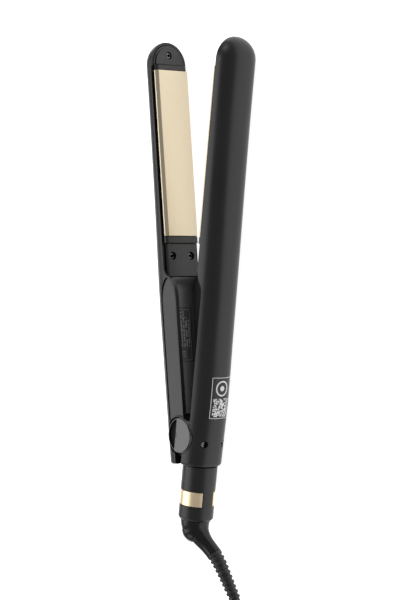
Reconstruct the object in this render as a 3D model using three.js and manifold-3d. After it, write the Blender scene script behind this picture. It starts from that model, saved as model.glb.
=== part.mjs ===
// Hair straightener lying open on its side, with a swivelling cord.
// Millimetres, +Z up off the table. The hinge axis is Z, and the fixed arm runs along +Y.
//
// Each arm is drawn in its own closed position: x is the depth behind the plane where the two
// plates meet, y runs from the hinge to the tip, and z is 0 in the middle of the arm's width.
// The moving arm is the mirror image in x, turned open about the hinge axis.

import * as THREE from 'three';
import { mergeVertices } from 'three/addons/utils/BufferGeometryUtils.js';
import Module from 'manifold-3d';

const wasm = await Module();
wasm.setup();

// Driving dimensions

const openAngle = THREE.MathUtils.degToRad(13.2);
const gap = 0.3;                 // between pieces that touch
const halfWidth = 15;            // of both arms, and the middle's height above the table
const wall = 1.7;
const widestDepth = 4.5;         // where the rounded back of an arm begins
const sectionPower = 2.2;        // superellipse of the back, slightly squarer than an ellipse
const tipCentre = 245.5;
const armEnd = -18.5;            // lower end of both arms
const endRounding = 2;
const coverStart = 104;
const plateStart = 131;
const plateLength = 110;
const plateEnd = plateStart + plateLength;
const plateFace = 0.15;          // depth of the working face
const plateHalfWidth = 13.9;
const plateBevel = 1.7;
const plateRim = 4.5;            // depth of the shells' edge along the plates
const hingeRadius = 11.7;
const hingeClearance = 12.3;     // round cut-outs of the arms about the hinge caps
const lugRadius = 6;
const pinRadius = 2.5;
const coverScrewY = 118;
const coverScrewZ = 7.8;
const tipScrewY = 251.5;
const buttonY = 62;
const buttonEnd = 13;            // depth of the inner end of the button's flange
const buttonTravel = 0.6;
const lampY = 46;

const arms = {
  fixed: {
    side: 1,
    back: curveThrough([
      [-20, 18.9], [5, 20.1], [27, 21], [60, 20.2], [95, 19.6], [125, 18.8], [160, 17.8], [210, 16.8],
    ]),
    cavityHalfWidth: halfWidth - wall,
    liner: 10.5,
  },
  moving: {
    side: -1,
    back: curveThrough([
      [-20, 17.8], [5, 18.3], [30, 18.8], [60, 19.2], [90, 19.5], [125, 18.6], [160, 17.6], [210, 16.8],
    ]),
    cavityHalfWidth: 12.2,
    liner: 7,
  },
};

const neck = { x: 6.9, radius: 11.5, spigotRadius: 10.4, top: -13, shoulder: -18.8, end: -55 };
const band = { start: -35.2, end: -45.4, depth: 0.9, pillars: [0, 180], pillarWidth: 8.6 };
const cord = { radius: 3, tableHeight: -halfWidth, lift: 0.8 };
const coil = { x: 17.5, y: -165.5, innerTurn: 24, outerTurn: 47.4, layers: 2, entry: 20 };
const plug = { halfHeight: 6.5, start: -34, length: 26, pinLength: 19, pinSpacing: 19 };

// Finishes

const finish = (color, roughness, metalness = 0) => ({ color, roughness, metalness });
const finishes = {
  satinBlack: finish(0x1b1b1d, 0.45),
  glossBlack: finish(0x0e0e10, 0.2),
  innerBlack: finish(0x242427, 0.6),
  champagne: finish(0xd9c79c, 0.3, 0.7),
  gold: finish(0xcda66a, 0.15, 1),
  steel: finish(0xa8a8aa, 0.35, 1),
  blackSteel: finish(0x2a2a2c, 0.4, 1),
  ceramic: finish(0xe9e6df, 0.7),
  silicone: finish(0xb8b5ae, 0.8),
  board: finish(0x2f6b3a, 0.6),
  rubber: finish(0x151516, 0.55),
  label: finish(0x3a3a3d, 0.5),
  lamp: finish(0xd8452e, 0.2),
};

// Geometry helpers

// Smooth function through a few [y, value] points.
function curveThrough(points) {
  const last = points.length - 1;
  const slope = (i) => {
    const before = points[Math.max(i - 1, 0)];
    const after = points[Math.min(i + 1, last)];
    return (after[1] - before[1]) / (after[0] - before[0]);
  };
  return (y) => {
    if (y <= points[0][0]) return points[0][1];
    if (y >= points[last][0]) return points[last][1];
    const i = points.findIndex((point) => point[0] > y) - 1;
    const length = points[i + 1][0] - points[i][0];
    const t = (y - points[i][0]) / length;
    const start = points[i][1] * (1 + 2 * t) + slope(i) * length * t;
    const end = points[i + 1][1] * (3 - 2 * t) - slope(i + 1) * length * (1 - t);
    return start * (1 - t) ** 2 + end * t ** 2;
  };
}

function signedVolume(geometry) {
  const position = geometry.attributes.position;
  const corners = [new THREE.Vector3(), new THREE.Vector3(), new THREE.Vector3()];
  let sum = 0;
  for (let i = 0; i < geometry.index.count; i += 3) {
    corners.forEach((corner, k) => corner.fromBufferAttribute(position, geometry.index.getX(i + k)));
    sum += corners[0].dot(corners[1].cross(corners[2]));
  }
  return sum / 6;
}

// Shared vertices merged and faces turned outwards.
function closedMesh(geometry) {
  const bare = geometry.clone();
  bare.deleteAttribute('normal');
  bare.deleteAttribute('uv');
  const merged = mergeVertices(bare, 1e-4);
  if (signedVolume(merged) < 0) merged.index.array.reverse();
  return merged;
}

function solid(geometry) {
  const mesh = closedMesh(geometry);
  const vertProperties = new Float32Array(mesh.attributes.position.array);
  const triVerts = new Uint32Array(mesh.index.array);
  return new wasm.Manifold(new wasm.Mesh({ numProp: 3, vertProperties, triVerts }));
}

function geometryOf(manifold) {
  const mesh = manifold.getMesh();
  const geometry = new THREE.BufferGeometry();
  geometry.setAttribute('position', new THREE.BufferAttribute(new Float32Array(mesh.vertProperties), 3));
  geometry.setIndex(new THREE.BufferAttribute(new Uint32Array(mesh.triVerts), 1));
  return geometry;
}

function cut(base, ...tools) {
  return geometryOf(tools.reduce((rest, tool) => rest.subtract(solid(tool)), solid(base)));
}

function join(...pieces) {
  return geometryOf(pieces.map(solid).reduce((sum, piece) => sum.add(piece)));
}

function meet(a, b) {
  return geometryOf(solid(a).intersect(solid(b)));
}

function mirrored(geometry) {
  return closedMesh(geometry.clone().scale(-1, 1, 1));
}

// Closed solid through convex sections, each a list of as many Vector3.
function loft(sections) {
  const count = sections[0].length;
  const last = (sections.length - 1) * count;
  const index = [];
  for (let s = 0; s < sections.length - 1; s += 1) {
    for (let i = 0; i < count; i += 1) {
      const a = s * count + i;
      const b = s * count + (i + 1) % count;
      index.push(a, b, b + count, a, b + count, a + count);
    }
  }
  for (let i = 1; i < count - 1; i += 1) {
    index.push(0, i + 1, i, last, last + i, last + i + 1);
  }
  const geometry = new THREE.BufferGeometry();
  const positions = sections.flat().flatMap((point) => point.toArray());
  geometry.setAttribute('position', new THREE.Float32BufferAttribute(positions, 3));
  geometry.setIndex(index);
  return geometry;
}

// Circular loft along a curve, with its radius as a function of the part of the way along.
function tube(curve, stops, radiusAt, sides) {
  const sideways = new THREE.Vector3(0, 0, 1);
  const sections = stops.map((u) => {
    const centre = curve.getPointAt(u);
    const ahead = curve.getTangentAt(u);
    const across = new THREE.Vector3().crossVectors(ahead, sideways).normalize();
    const up = new THREE.Vector3().crossVectors(across, ahead);
    return Array.from({ length: sides }, (unused, i) => {
      const angle = 2 * Math.PI * i / sides;
      return centre.clone()
        .addScaledVector(across, radiusAt(u) * Math.cos(angle))
        .addScaledVector(up, radiusAt(u) * Math.sin(angle));
    });
  });
  return loft(sections);
}

function outline(points) {
  return new THREE.Shape(points.map(([x, y]) => new THREE.Vector2(x, y)));
}

// Outline in x and y, drawn out along z.
function prismZ(shape, from, to, curveSegments = 16) {
  const geometry = new THREE.ExtrudeGeometry(shape, { depth: to - from, bevelEnabled: false, curveSegments });
  return geometry.translate(0, 0, from);
}

// Outline in x and z, drawn out along y.
function prismY(shape, from, to, curveSegments = 12) {
  const geometry = new THREE.ExtrudeGeometry(shape, { depth: to - from, bevelEnabled: false, curveSegments });
  return geometry.rotateX(Math.PI / 2).translate(0, to, 0);
}

function box(x, y, z) {
  const size = [x, y, z].map(([from, to]) => to - from);
  const middle = [x, y, z].map(([from, to]) => (from + to) / 2);
  return new THREE.BoxGeometry(...size).translate(...middle);
}

// Turned piece on an axis: profile points are [radius, distance along the axis].
function turned(profile, axis, segments = 16) {
  const points = profile.map(([radius, along]) => new THREE.Vector2(radius, along));
  const geometry = new THREE.LatheGeometry(points, segments);
  if (axis === 'x') geometry.rotateZ(-Math.PI / 2);
  if (axis === 'z') geometry.rotateX(Math.PI / 2);
  return geometry;
}

function rod(radius, from, to, axis, segments = 16) {
  return turned([[0, from], [radius, from], [radius, to], [0, to]], axis, segments);
}

function ring(inner, outer, from, to, axis, segments = 20) {
  return turned([[inner, from], [outer, from], [outer, to], [inner, to], [inner, from]], axis, segments);
}

// Both sides of the middle plane.
function bothSides(geometry) {
  return [geometry, closedMesh(geometry.clone().scale(1, 1, -1))];
}

// Arm shells

// Rounded section: flat sides from the open edge to the widest line, then the curved back.
function armSection(y, openDepth, half, back) {
  const steps = 14;
  const points = [new THREE.Vector3(openDepth, y, half)];
  for (let i = 0; i <= steps; i += 1) {
    const angle = Math.PI * (0.5 - i / steps);
    const depth = Math.abs(Math.cos(angle)) ** (2 / sectionPower);
    const width = Math.sign(Math.sin(angle)) * Math.abs(Math.sin(angle)) ** (2 / sectionPower);
    points.push(new THREE.Vector3(widestDepth + (back - widestDepth) * depth, y, half * width));
  }
  points.push(new THREE.Vector3(openDepth, y, -half));
  return points;
}

// Full-length body of an arm, narrowing to a round tip; inset makes the hollow inside it.
function armBody(arm, from, half, inset) {
  const openDepth = -12;
  const tipRadius = halfWidth - inset;
  const rows = [];
  for (const angle of [90, 60, 30]) {
    const turn = THREE.MathUtils.degToRad(angle);
    rows.push([from + endRounding * (1 - Math.sin(turn)), endRounding * (1 - Math.cos(turn))]);
  }
  const lengthSteps = 12;
  for (let i = 0; i <= lengthSteps; i += 1) {
    const start = from + endRounding;
    rows.push([start + (tipCentre - start) * i / lengthSteps, 0]);
  }
  const straight = rows.map(([y, draw]) => (
    armSection(y, openDepth, half - draw, arm.back(y) - inset - draw)
  ));
  const tipAngles = [18, 35, 50, 63, 75, 84, 88];
  const tip = tipAngles.map((angle) => {
    const turn = THREE.MathUtils.degToRad(angle);
    const y = tipCentre + tipRadius * Math.sin(turn);
    const depth = (arm.back(y) - inset - widestDepth) * Math.cos(turn);
    return armSection(y, openDepth, half * Math.cos(turn), widestDepth + depth);
  });
  return loft([...straight, ...tip]);
}

// Everything in front of an arm's edge, cut away from its shell.
function openSide(arm) {
  const edge = new THREE.Shape();
  const far = 40;
  edge.moveTo(-far, -far);
  edge.lineTo(4.8, -far);
  edge.lineTo(4.8, -4);
  if (arm.side > 0) {
    edge.lineTo(9.5, -4);
    edge.lineTo(9.5, 95);
    edge.bezierCurveTo(9.5, 102, plateRim, 101, plateRim, 113);
  } else {
    edge.lineTo(-6, -4);
    edge.lineTo(-6, 88);
    edge.bezierCurveTo(-6, 97, -3.5, 102, 0.5, 104.4);
    edge.bezierCurveTo(2.6, 105.6, plateRim, 107, plateRim, 109);
  }
  edge.lineTo(plateRim, tipCentre + far);
  edge.lineTo(-far, tipCentre + far);
  return prismZ(edge, -halfWidth - 1, halfWidth + 1);
}

// Pointed panel outline on the moving arm's side, ending in an arc round the hinge.
function petal(grow) {
  const arc = hingeClearance + 0.9 - grow;
  const front = -5.1 - grow;
  const rear = 8.3 + grow;
  const shape = new THREE.Shape();
  shape.moveTo(front, Math.sqrt(arc ** 2 - front ** 2));
  shape.lineTo(front + 0.7, 89);
  shape.bezierCurveTo(front + 0.8, 96.5, -1.5 - grow, 101.4, 2, 103.6 + grow);
  shape.bezierCurveTo(5.4 + grow, 102.4, rear + 0.6, 97, rear + 0.6, 88);
  shape.lineTo(rear, Math.sqrt(arc ** 2 - rear ** 2));
  const from = Math.atan2(Math.sqrt(arc ** 2 - rear ** 2), rear);
  const to = Math.atan2(Math.sqrt(arc ** 2 - front ** 2), front);
  shape.absarc(0, 0, arc, from, to, false);
  return shape;
}

function armShell(arm) {
  const outer = armBody(arm, armEnd, halfWidth, 0);
  const hollows = [openSide(arm)];
  if (arm.side > 0) {
    hollows.push(armBody(arm, armEnd + 3, arm.cavityHalfWidth, wall));
    hollows.push(rod(neck.spigotRadius + 0.4, armEnd - 1, armEnd + 5, 'y', 32).translate(neck.x, 0, 0));
  } else {
    const plates = box([-20, 40], [coverStart, 300], [-20, 20]);
    hollows.push(meet(armBody(arm, armEnd + 3, halfWidth - wall, wall), plates));
    const handle = box([-20, 40], [-40, coverStart + 1], [-20, 20]);
    hollows.push(meet(armBody(arm, armEnd + 3, arm.cavityHalfWidth, wall), handle));
    hollows.push(...bothSides(prismZ(petal(gap), 13, halfWidth + 1)));
    hollows.push(box([-20, 10.2], [armEnd - 1, armEnd + 5], [-arm.cavityHalfWidth, arm.cavityHalfWidth]));
  }
  hollows.push(...bothSides(rod(hingeClearance, 11.5, halfWidth + 1, 'z', 36)));
  const shell = cut(outer, ...hollows);
  return arm.side > 0 ? withBackScrewHoles(shell, arm) : shell;
}

// Two bosses for the screws that hold the hinge block from behind.
const backScrew = { y: -3, z: 7.5, seat: 15.9, foot: 14.8 };

function withBackScrewHoles(shell, arm) {
  const bosses = bothSides(rod(3.3, backScrew.foot, 17.4, 'x', 16).translate(0, backScrew.y, backScrew.z));
  const inside = armBody(arm, armEnd, halfWidth, 0.2);
  const kept = bosses.map((boss) => meet(boss, inside));
  const bores = bothSides(turned(
    [[0, 10], [1.4, 10], [1.4, backScrew.seat], [2.3, backScrew.seat], [2.3, 25], [0, 25]], 'x', 16,
  ).translate(0, backScrew.y, backScrew.z));
  return cut(join(shell, ...kept), ...bores);
}

// Screws

// Pan head with a cross recess: the head faces -x and the shank runs to +x.
function screw(seat, headRadius, headHeight, shankRadius, shankLength) {
  const top = seat - headHeight;
  const body = turned([
    [0, top], [headRadius * 0.6, top], [headRadius, top + headHeight * 0.5], [headRadius, seat],
    [shankRadius, seat], [shankRadius, seat + shankLength], [0, seat + shankLength + shankRadius],
  ], 'x', 12);
  const arm = headRadius * 0.6;
  const slot = headRadius * 0.14;
  const depth = [top - 1, top + headHeight * 0.6];
  return cut(body, box(depth, [-arm, arm], [-slot, slot]), box(depth, [-slot, slot], [-arm, arm]));
}

// Plates and what lies behind them

function heatingPlate() {
  const lip = plateHalfWidth - 0.8;
  const leg = [10.2, 11.3];
  const half = [
    [plateFace, plateHalfWidth - plateBevel], [plateFace + plateBevel, plateHalfWidth], [2.9, plateHalfWidth],
    [2.9, lip], [2.15, lip], [2.15, leg[1]], [6.4, leg[1]], [6.4, leg[0] - 0.7], [5.8, leg[0] - 0.7],
    [5.8, leg[0]], [2.15, leg[0]],
  ];
  const other = half.map(([x, z]) => [x, -z]).reverse();
  return prismY(outline([...half, ...other]), plateStart, plateEnd);
}

function heater() {
  const body = box([2.45, 4.05], [140, 232], [-8, 8]);
  const terminals = [-4, 4].map((z) => box([2.9, 3.6], [134, 140], [z - 1.2, z + 1.2]));
  return join(body, ...terminals.map((terminal) => terminal.translate(0, 0.5, 0)));
}

function heaterClamp() {
  const bar = box([4.35, 5.1], [136, 236], [-9, 9]);
  const ribs = bothSides(box([5, 6], [140, 232], [4.3, 5.3]));
  const windows = [161.7, 186, 210.3].map((y) => box([4, 7], [y - 5, y + 5], [-3, 3]));
  return cut(join(bar, ...ribs), ...windows);
}

function plateCarrier() {
  const outside = [[3.45, 12.8], [6.3, 12.8], [8, 12.2], [10.5, 10.7]];
  const mirroredOutside = outside.map(([x, z]) => [x, -z]).reverse();
  const trough = prismY(outline([...outside, ...mirroredOutside]), plateStart - 4.6, plateEnd + 4);
  const blockHalf = plateHalfWidth - 0.1;
  const cap = [
    [0.6, blockHalf - 1.4], [2, blockHalf], [3.2, blockHalf], [3.2, 12.8], [6, 12.8],
    [6, -12.8], [3.2, -12.8], [3.2, -blockHalf], [2, -blockHalf], [0.6, 1.4 - blockHalf],
  ];
  const rearBlock = prismY(outline(cap), plateStart - 4.6, plateStart - 0.4);
  const frontBar = prismY(outline(cap.map(([x, z]) => [x + 0.3, z * 0.94])), plateEnd + 0.5, plateEnd + 3.6);
  const inside = [
    [0, 11.7], [7.9, 11.7], [9.3, 9.9], [9.3, -9.9], [7.9, -11.7], [0, -11.7],
  ];
  const pocket = prismY(outline(inside), plateStart - 0.4, plateEnd + 0.5);
  const wireWay = rod(2.4, 5, 12, 'x', 16).translate(0, plateStart + 4, 0);
  return cut(join(trough, rearBlock, frontBar), pocket, wireWay);
}

// Silicone strip whose four ridges push the plate up.
function plateCushion() {
  const strip = box([7.4, 9], [145, 227], [-3.5, 3.5]);
  const ridges = [150, 173.3, 198.7, 222].map((y) => rod(2, -3.5, 3.5, 'z', 12).translate(7.4, y, 0));
  return cut(join(strip, ...ridges), box([9, 11], [140, 232], [-4, 4]));
}

function steps(count) {
  return Array.from({ length: count + 1 }, (unused, i) => i / count);
}

function sensorCan() {
  return turned([[0, 194], [0.8, 194], [0.8, 206], [0.4, 207], [0.4, 212], [0, 212]], 'y', 12)
    .translate(7.2, 0, 6.5);
}

// Covers between plate, tip and handle

function innerCover() {
  const top = 2.5;
  const outside = [
    [top, -11.9], [top + 0.8, -12.7], [6.2, -12.7], [8.6, -11.4],
    [8.6, 11.4], [6.2, 12.7], [top + 0.8, 12.7], [top, 11.9],
  ];
  const inside = [[top + 1.8, -11.2], [9, -10], [9, 10], [top + 1.8, 11.2]];
  const block = prismY(outline(outside), coverStart + 0.6, plateStart - 5);
  const hollow = prismY(outline(inside), coverStart + 2.4, plateStart - 6.8);
  const bosses = bothSides(rod(3.4, top + 1, 10, 'x', 16).translate(0, coverScrewY, coverScrewZ));
  const bores = bothSides(turned(
    [[0, 0], [2.7, 0], [2.7, 5.1], [1.35, 5.1], [1.35, 12], [0, 12]], 'x', 16,
  ).translate(0, coverScrewY, coverScrewZ));
  return cut(join(cut(block, hollow), ...bosses), ...bores);
}

function coverScrews() {
  return bothSides(screw(4.8, 2.3, 1.4, 1.1, 3.8).translate(0, coverScrewY, coverScrewZ));
}

// Half-round plate, with its straight edge towards the handle.
function tipOutline(radius, start) {
  const shape = new THREE.Shape();
  shape.moveTo(start, radius);
  shape.absarc(tipCentre, 0, radius, Math.PI / 2, -Math.PI / 2, true);
  shape.lineTo(start, -radius);
  return shape;
}

function prismX(shape, from, to) {
  const options = { depth: to - from, bevelEnabled: false, curveSegments: 12 };
  const geometry = new THREE.ExtrudeGeometry(shape, options);
  const basis = new THREE.Matrix4().makeBasis(
    new THREE.Vector3(0, 1, 0), new THREE.Vector3(0, 0, 1), new THREE.Vector3(1, 0, 0),
  );
  return geometry.applyMatrix4(basis).translate(from, 0, 0);
}

function tipCap() {
  const base = prismX(tipOutline(12.8, tipCentre - 0.2), 4.1, 5.9);
  const panel = prismX(tipOutline(11.3, tipCentre - 0.1), 3.3, 4.2);
  const boss = rod(3.6, 5.5, 10, 'x', 16).translate(0, tipScrewY, 0);
  const bore = turned([[0, 0], [2.6, 0], [2.6, 5.3], [1.35, 5.3], [1.35, 12], [0, 12]], 'x', 16);
  return cut(join(base, panel, boss), bore.translate(0, tipScrewY, 0));
}

function tipScrew() {
  return screw(5, 2.2, 1.4, 1.1, 3.8).translate(0, tipScrewY, 0);
}

// Handle

function handleLiner(arm) {
  const half = arm.cavityHalfWidth - gap;
  const floor = arm.liner;
  const thickness = 1.6;
  const top = arm.side > 0 ? plateRim + 0.6 : 3;
  const shape = new THREE.Shape();
  shape.moveTo(floor, 14);
  shape.lineTo(floor, 95);
  shape.bezierCurveTo(floor, 100, top + 1.5, 100.5, top, coverStart);
  shape.lineTo(top + thickness, coverStart);
  shape.bezierCurveTo(top + 3, 102.4, floor + thickness, 101.5, floor + thickness, 96);
  shape.lineTo(floor + thickness, 14);
  const sheet = prismZ(shape, -half, half, 10);
  const backClear = armBody(arm, armEnd, half, wall + gap);
  const fitted = meet(sheet, backClear);
  if (arm.side < 0) {
    return cut(fitted, box([floor - 1, floor + 0.75], [48, 84], [-8.3, 8.3]));
  }
  const buttonHole = box([floor - 1, floor + 3], [buttonY - 6.4, buttonY + 6.4], [-4.4, 4.4]);
  const lampHole = rod(1.9, floor - 1, floor + 3, 'x', 16).translate(0, lampY, 0);
  return cut(fitted, buttonHole, lampHole);
}

function ratingLabel() {
  return box([arms.moving.liner + 0.2, arms.moving.liner + 0.45], [48.3, 83.7], [-8, 8]);
}

function powerButton() {
  const key = new THREE.Shape();
  key.absarc(buttonY + 2, 0, 4, Math.PI / 2, -Math.PI / 2, true);
  key.absarc(buttonY - 2, 0, 4, -Math.PI / 2, -3 * Math.PI / 2, true);
  const cap = prismX(key, 9.6, 12.5);
  const flange = box([buttonEnd - 0.6, buttonEnd], [buttonY - 7.4, buttonY + 7.4], [-5.4, 5.4]);
  return join(cap, flange);
}

function lampLens() {
  return turned([[0, 9.9], [1.1, 10], [1.6, 10.4], [1.6, 12.3], [2.4, 12.4], [2.4, 13.2], [0, 13.2]], 'x', 16)
    .translate(0, lampY, 0);
}

function controlBoard() {
  const front = 14.7;
  const back = front + 1.6;
  const board = box([front, back], [26, 88], [-6.4, 6.4]);
  const switchTop = buttonEnd + buttonTravel + gap;
  const buttonSwitch = box([switchTop, front + 0.1], [buttonY - 3, buttonY + 3], [-2.5, 2.5]);
  const socket = box([front - 1, front + 0.1], [78, 86], [-5.5, 5.5]);
  const fuse = rod(0.9, 30, 40, 'y', 12).translate(front - 0.7, 0, -4.5);
  const relay = box([back - 0.1, back + 1.1], [70, 78], [-4, 4]);
  const triac = box([back - 0.1, back + 1.2], [36, 48], [-3.5, 3.5]);
  return join(board, buttonSwitch, socket, fuse, relay, triac);
}

// Hinge

function hingeCap() {
  const disc = turned([
    [0, 11.8], [hingeRadius, 11.8], [hingeRadius, 13.7], [hingeRadius - 0.4, 14], [0, 14],
  ], 'z', 36);
  const chord = -3.3;
  const pad = meet(
    turned([
      [0, 13.5], [hingeRadius - 0.5, 13.5], [hingeRadius - 0.5, halfWidth - 0.3],
      [hingeRadius - 0.8, halfWidth], [0, halfWidth],
    ], 'z', 36),
    box([chord, 20], [-20, 20], [0, 20]),
  );
  return join(disc, pad);
}

function lugs(inner, outer, baseDepth) {
  const shape = new THREE.Shape();
  shape.moveTo(baseDepth + 0.5, lugRadius + 3);
  shape.lineTo(2.5, lugRadius * 0.91);
  shape.absarc(0, 0, lugRadius, Math.PI * 0.36, -Math.PI * 0.36, false);
  shape.lineTo(baseDepth + 0.5, -lugRadius - 1);
  const bore = rod(pinRadius + gap, inner - 1, outer + 1, 'z');
  const bored = cut(prismZ(shape, inner, outer, 6), bore);
  return bothSides(bored);
}

function fixedHingeBlock() {
  const base = [[12.5, -10.3], [14.4, -8.8], [14.4, 8.8], [12.5, 10.3]];
  const block = join(prismY(outline(base), -8, 12), ...lugs(4.4, 7, 12.5));
  const threads = bothSides(rod(1.4, 11, 16, 'x', 16).translate(0, backScrew.y, backScrew.z));
  return cut(block, ...threads);
}

function movingHingeBlock() {
  const base = [[10, -10.6], [12, -9.6], [12, 9.6], [10, 10.6]];
  return join(prismY(outline(base), -8, 12), ...lugs(8.1, 10.6, 10));
}

function backScrews() {
  const facingBack = screw(0, 2, 1.3, 1.05, 3.2).rotateZ(Math.PI);
  return bothSides(facingBack.translate(backScrew.seat + gap, backScrew.y, backScrew.z));
}

function hingePin() {
  return turned([
    [0, -11.5], [pinRadius - 0.4, -11.5], [pinRadius, -11.1],
    [pinRadius, 11.1], [pinRadius - 0.4, 11.5], [0, 11.5],
  ], 'z', 20);
}

function hingeWashers() {
  return bothSides(ring(pinRadius + gap, lugRadius - 0.6, 7.3, 7.8, 'z', 20));
}

// Torsion spring round the pin, one leg on each hinge block.
function hingeSpring() {
  const wire = 0.6;
  const radius = 4.1;
  const fixedFoot = new THREE.Vector2(12.5 - gap - wire, 9);
  const movingFoot = new THREE.Vector2(-(10 - gap - wire), 9).rotateAround(new THREE.Vector2(), openAngle);
  const leave = fixedFoot.angle() - Math.acos(radius / fixedFoot.length());
  const enter = movingFoot.angle() + Math.acos(radius / movingFoot.length());
  const turns = 4;
  const sweep = leave - enter + 2 * Math.PI * turns;
  const pitchSteps = 44;
  const points = [new THREE.Vector3(movingFoot.x, movingFoot.y, -3.2)];
  for (let i = 0; i <= pitchSteps; i += 1) {
    const angle = enter + sweep * i / pitchSteps;
    const height = -3.2 + 6.4 * i / pitchSteps;
    points.push(new THREE.Vector3(radius * Math.cos(angle), radius * Math.sin(angle), height));
  }
  points.push(new THREE.Vector3(fixedFoot.x, fixedFoot.y, 3.2));
  return tube(new THREE.CatmullRomCurve3(points), steps(pitchSteps + 14), () => wire, 6);
}

// Neck and swivel

function neckSleeve() {
  const edge = neck.radius - 1.1;
  const sleeve = turned([
    [0, neck.top], [neck.spigotRadius, neck.top], [neck.spigotRadius, neck.shoulder + 0.2],
    [neck.radius, neck.shoulder], [neck.radius, neck.end + 1.4], [edge, neck.end], [8.3, neck.end],
    [8.3, -47], [3.4, -47], [3.4, -24], [0, -24],
  ], 'y', 32);
  const groove = ring(neck.radius - band.depth, neck.radius + 2, band.end, band.start, 'y', 32);
  const pillars = pillarBlocks(band.pillarWidth);
  return cut(sleeve, cut(groove, ...pillars)).translate(neck.x, 0, 0);
}

function pillarBlocks(width) {
  return band.pillars.map((angle) => (
    box([neck.radius - 3, neck.radius + 3], [band.end - 1, band.start + 1], [-width / 2, width / 2])
      .rotateY(-THREE.MathUtils.degToRad(angle))
  ));
}

function neckBands() {
  const inner = neck.radius - band.depth + gap;
  const hoop = ring(inner, neck.radius - 0.1, band.end + gap, band.start - gap, 'y', 32);
  const windows = cut(hoop, ...pillarBlocks(band.pillarWidth + 2 * gap)).translate(neck.x, 0, 0);
  return bothSides(meet(windows, box([-20, 40], [-80, 0], [0, 20])));
}

function swivelRetainer() {
  return ring(5.2, 8, neck.end + 0.6, neck.end + 3.8, 'y', 32).translate(neck.x, 0, 0);
}

function swivelSpigot() {
  return turned([
    [0, -47.4], [7.4, -47.4], [7.8, -47.8], [7.8, -50.8], [4.8, -50.8], [4.8, -62], [0, -62],
  ], 'y', 24).translate(neck.x, 0, 0);
}

// The elbow leans out sideways and a little down: [sideways, y] along its middle line.
const swivelTilt = THREE.MathUtils.degToRad(-15);
const swivelRoute = [
  [0, -55.4], [0.5, -58.6], [2.6, -62.6], [6.8, -67.2], [12.2, -71.4], [17, -75.2],
  [21.3, -79.8], [25, -84.8], [28.7, -90.2], [32.3, -95.6], [36, -101],
];
const swivelCurve = new THREE.CatmullRomCurve3(swivelRoute.map(([out, y]) => (
  new THREE.Vector3(neck.x + out * Math.cos(swivelTilt), y, out * Math.sin(swivelTilt))
)));
const swivelLength = swivelCurve.getLength();
const elbowLength = 27;

function swivelElbow() {
  const radiusAt = curveThrough([[0, 9.7], [3, 9.5], [8, 8.4], [14, 6.6], [20, 5.5], [25, 5.1], [27, 5.1]]);
  const stops = steps(13).map((u) => u * elbowLength / swivelLength);
  const body = tube(swivelCurve, stops, (u) => radiusAt(u * swivelLength), 20);
  const bore = rod(5.1, -62.4, -50, 'y', 32).translate(neck.x, 0, 0);
  const above = box([-20, 40], [neck.end - gap, 0], [-20, 20]);
  return cut(body, bore, above);
}

function strainRelief() {
  const start = elbowLength + gap;
  const ribs = 9;
  const pitch = (swivelLength - start - 1.6) / ribs;
  const profile = [];
  for (let i = 0; i < ribs; i += 1) {
    const y = start + i * pitch;
    profile.push([y, 0], [y + pitch * 0.52, 0], [y + pitch * 0.56, 1], [y + pitch * 0.96, 1]);
  }
  profile.push([swivelLength - 1.6, 0], [swivelLength, 0]);
  const groove = new Map(profile.map(([length, sunk]) => [length / swivelLength, sunk]));
  const taper = (u) => 5.1 - 1.2 * (u * swivelLength - start) / (swivelLength - start);
  return tube(swivelCurve, [...groove.keys()], (u) => taper(u) - 0.8 * groove.get(u), 12);
}

// Cord, coil and plug

const layerHeight = cord.tableHeight + cord.lift + cord.radius;
const coilOuter = coil.outerTurn + cord.radius;
const coilInner = coil.innerTurn - cord.radius;
const coilBottom = cord.tableHeight + cord.lift;
const coilTop = coilBottom + 2 * cord.radius * coil.layers;

function cordPiece(points, steppings) {
  const section = new THREE.Shape();
  section.absarc(0, 0, cord.radius, 0, 2 * Math.PI, false);
  const route = new THREE.CatmullRomCurve3(points.map((point) => new THREE.Vector3(...point)));
  return new THREE.ExtrudeGeometry(section, { steps: steppings, curveSegments: 10, extrudePath: route });
}

// The cord runs straight into the outermost turn, and this far before it meets the coil's solid.
const besideCoil = Math.sqrt((coilOuter + cord.radius + gap) ** 2 - coil.outerTurn ** 2);

function cordLead() {
  const entry = THREE.MathUtils.degToRad(coil.entry);
  const end = [
    coil.x + coil.outerTurn * Math.cos(entry) - besideCoil * Math.sin(entry),
    coil.y + coil.outerTurn * Math.sin(entry) + besideCoil * Math.cos(entry), layerHeight,
  ];
  return cordPiece([[42, -101.5, -9.5], [44.9, -106.5, -10.3], [48.6, -114.5, -11], end], 5);
}

function cordTail() {
  const y = coil.y - coilOuter + cord.radius;
  const leave = coil.x - besideCoil;
  return cordPiece([[leave, y, -11.2], [leave - 3.2, y, -10.2], [plug.start + 19.4, y, -8.9]], 3);
}

function cordCoil() {
  return turned([
    [coilInner, coilBottom], [coilOuter, coilBottom], [coilOuter, coilTop], [coilInner, coilTop],
    [coilInner, coilBottom],
  ], 'z', 40).translate(coil.x, coil.y, 0);
}

function cordTie() {
  const thickness = 0.5;
  const outside = outline([
    [coilInner - 1.8, -halfWidth], [coilOuter + 1.2, -halfWidth],
    [coilOuter + 1.2, coilTop + 0.8], [coilInner - 1.8, coilTop + 0.8],
  ]);
  outside.holes.push(outline([
    [coilInner - 1.3, -halfWidth + thickness], [coilOuter + 0.7, -halfWidth + thickness],
    [coilOuter + 0.7, coilTop + 0.3], [coilInner - 1.3, coilTop + 0.3],
  ]));
  return prismY(outside, -6, 6).rotateZ(THREE.MathUtils.degToRad(115)).translate(coil.x, coil.y, 0);
}

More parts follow.
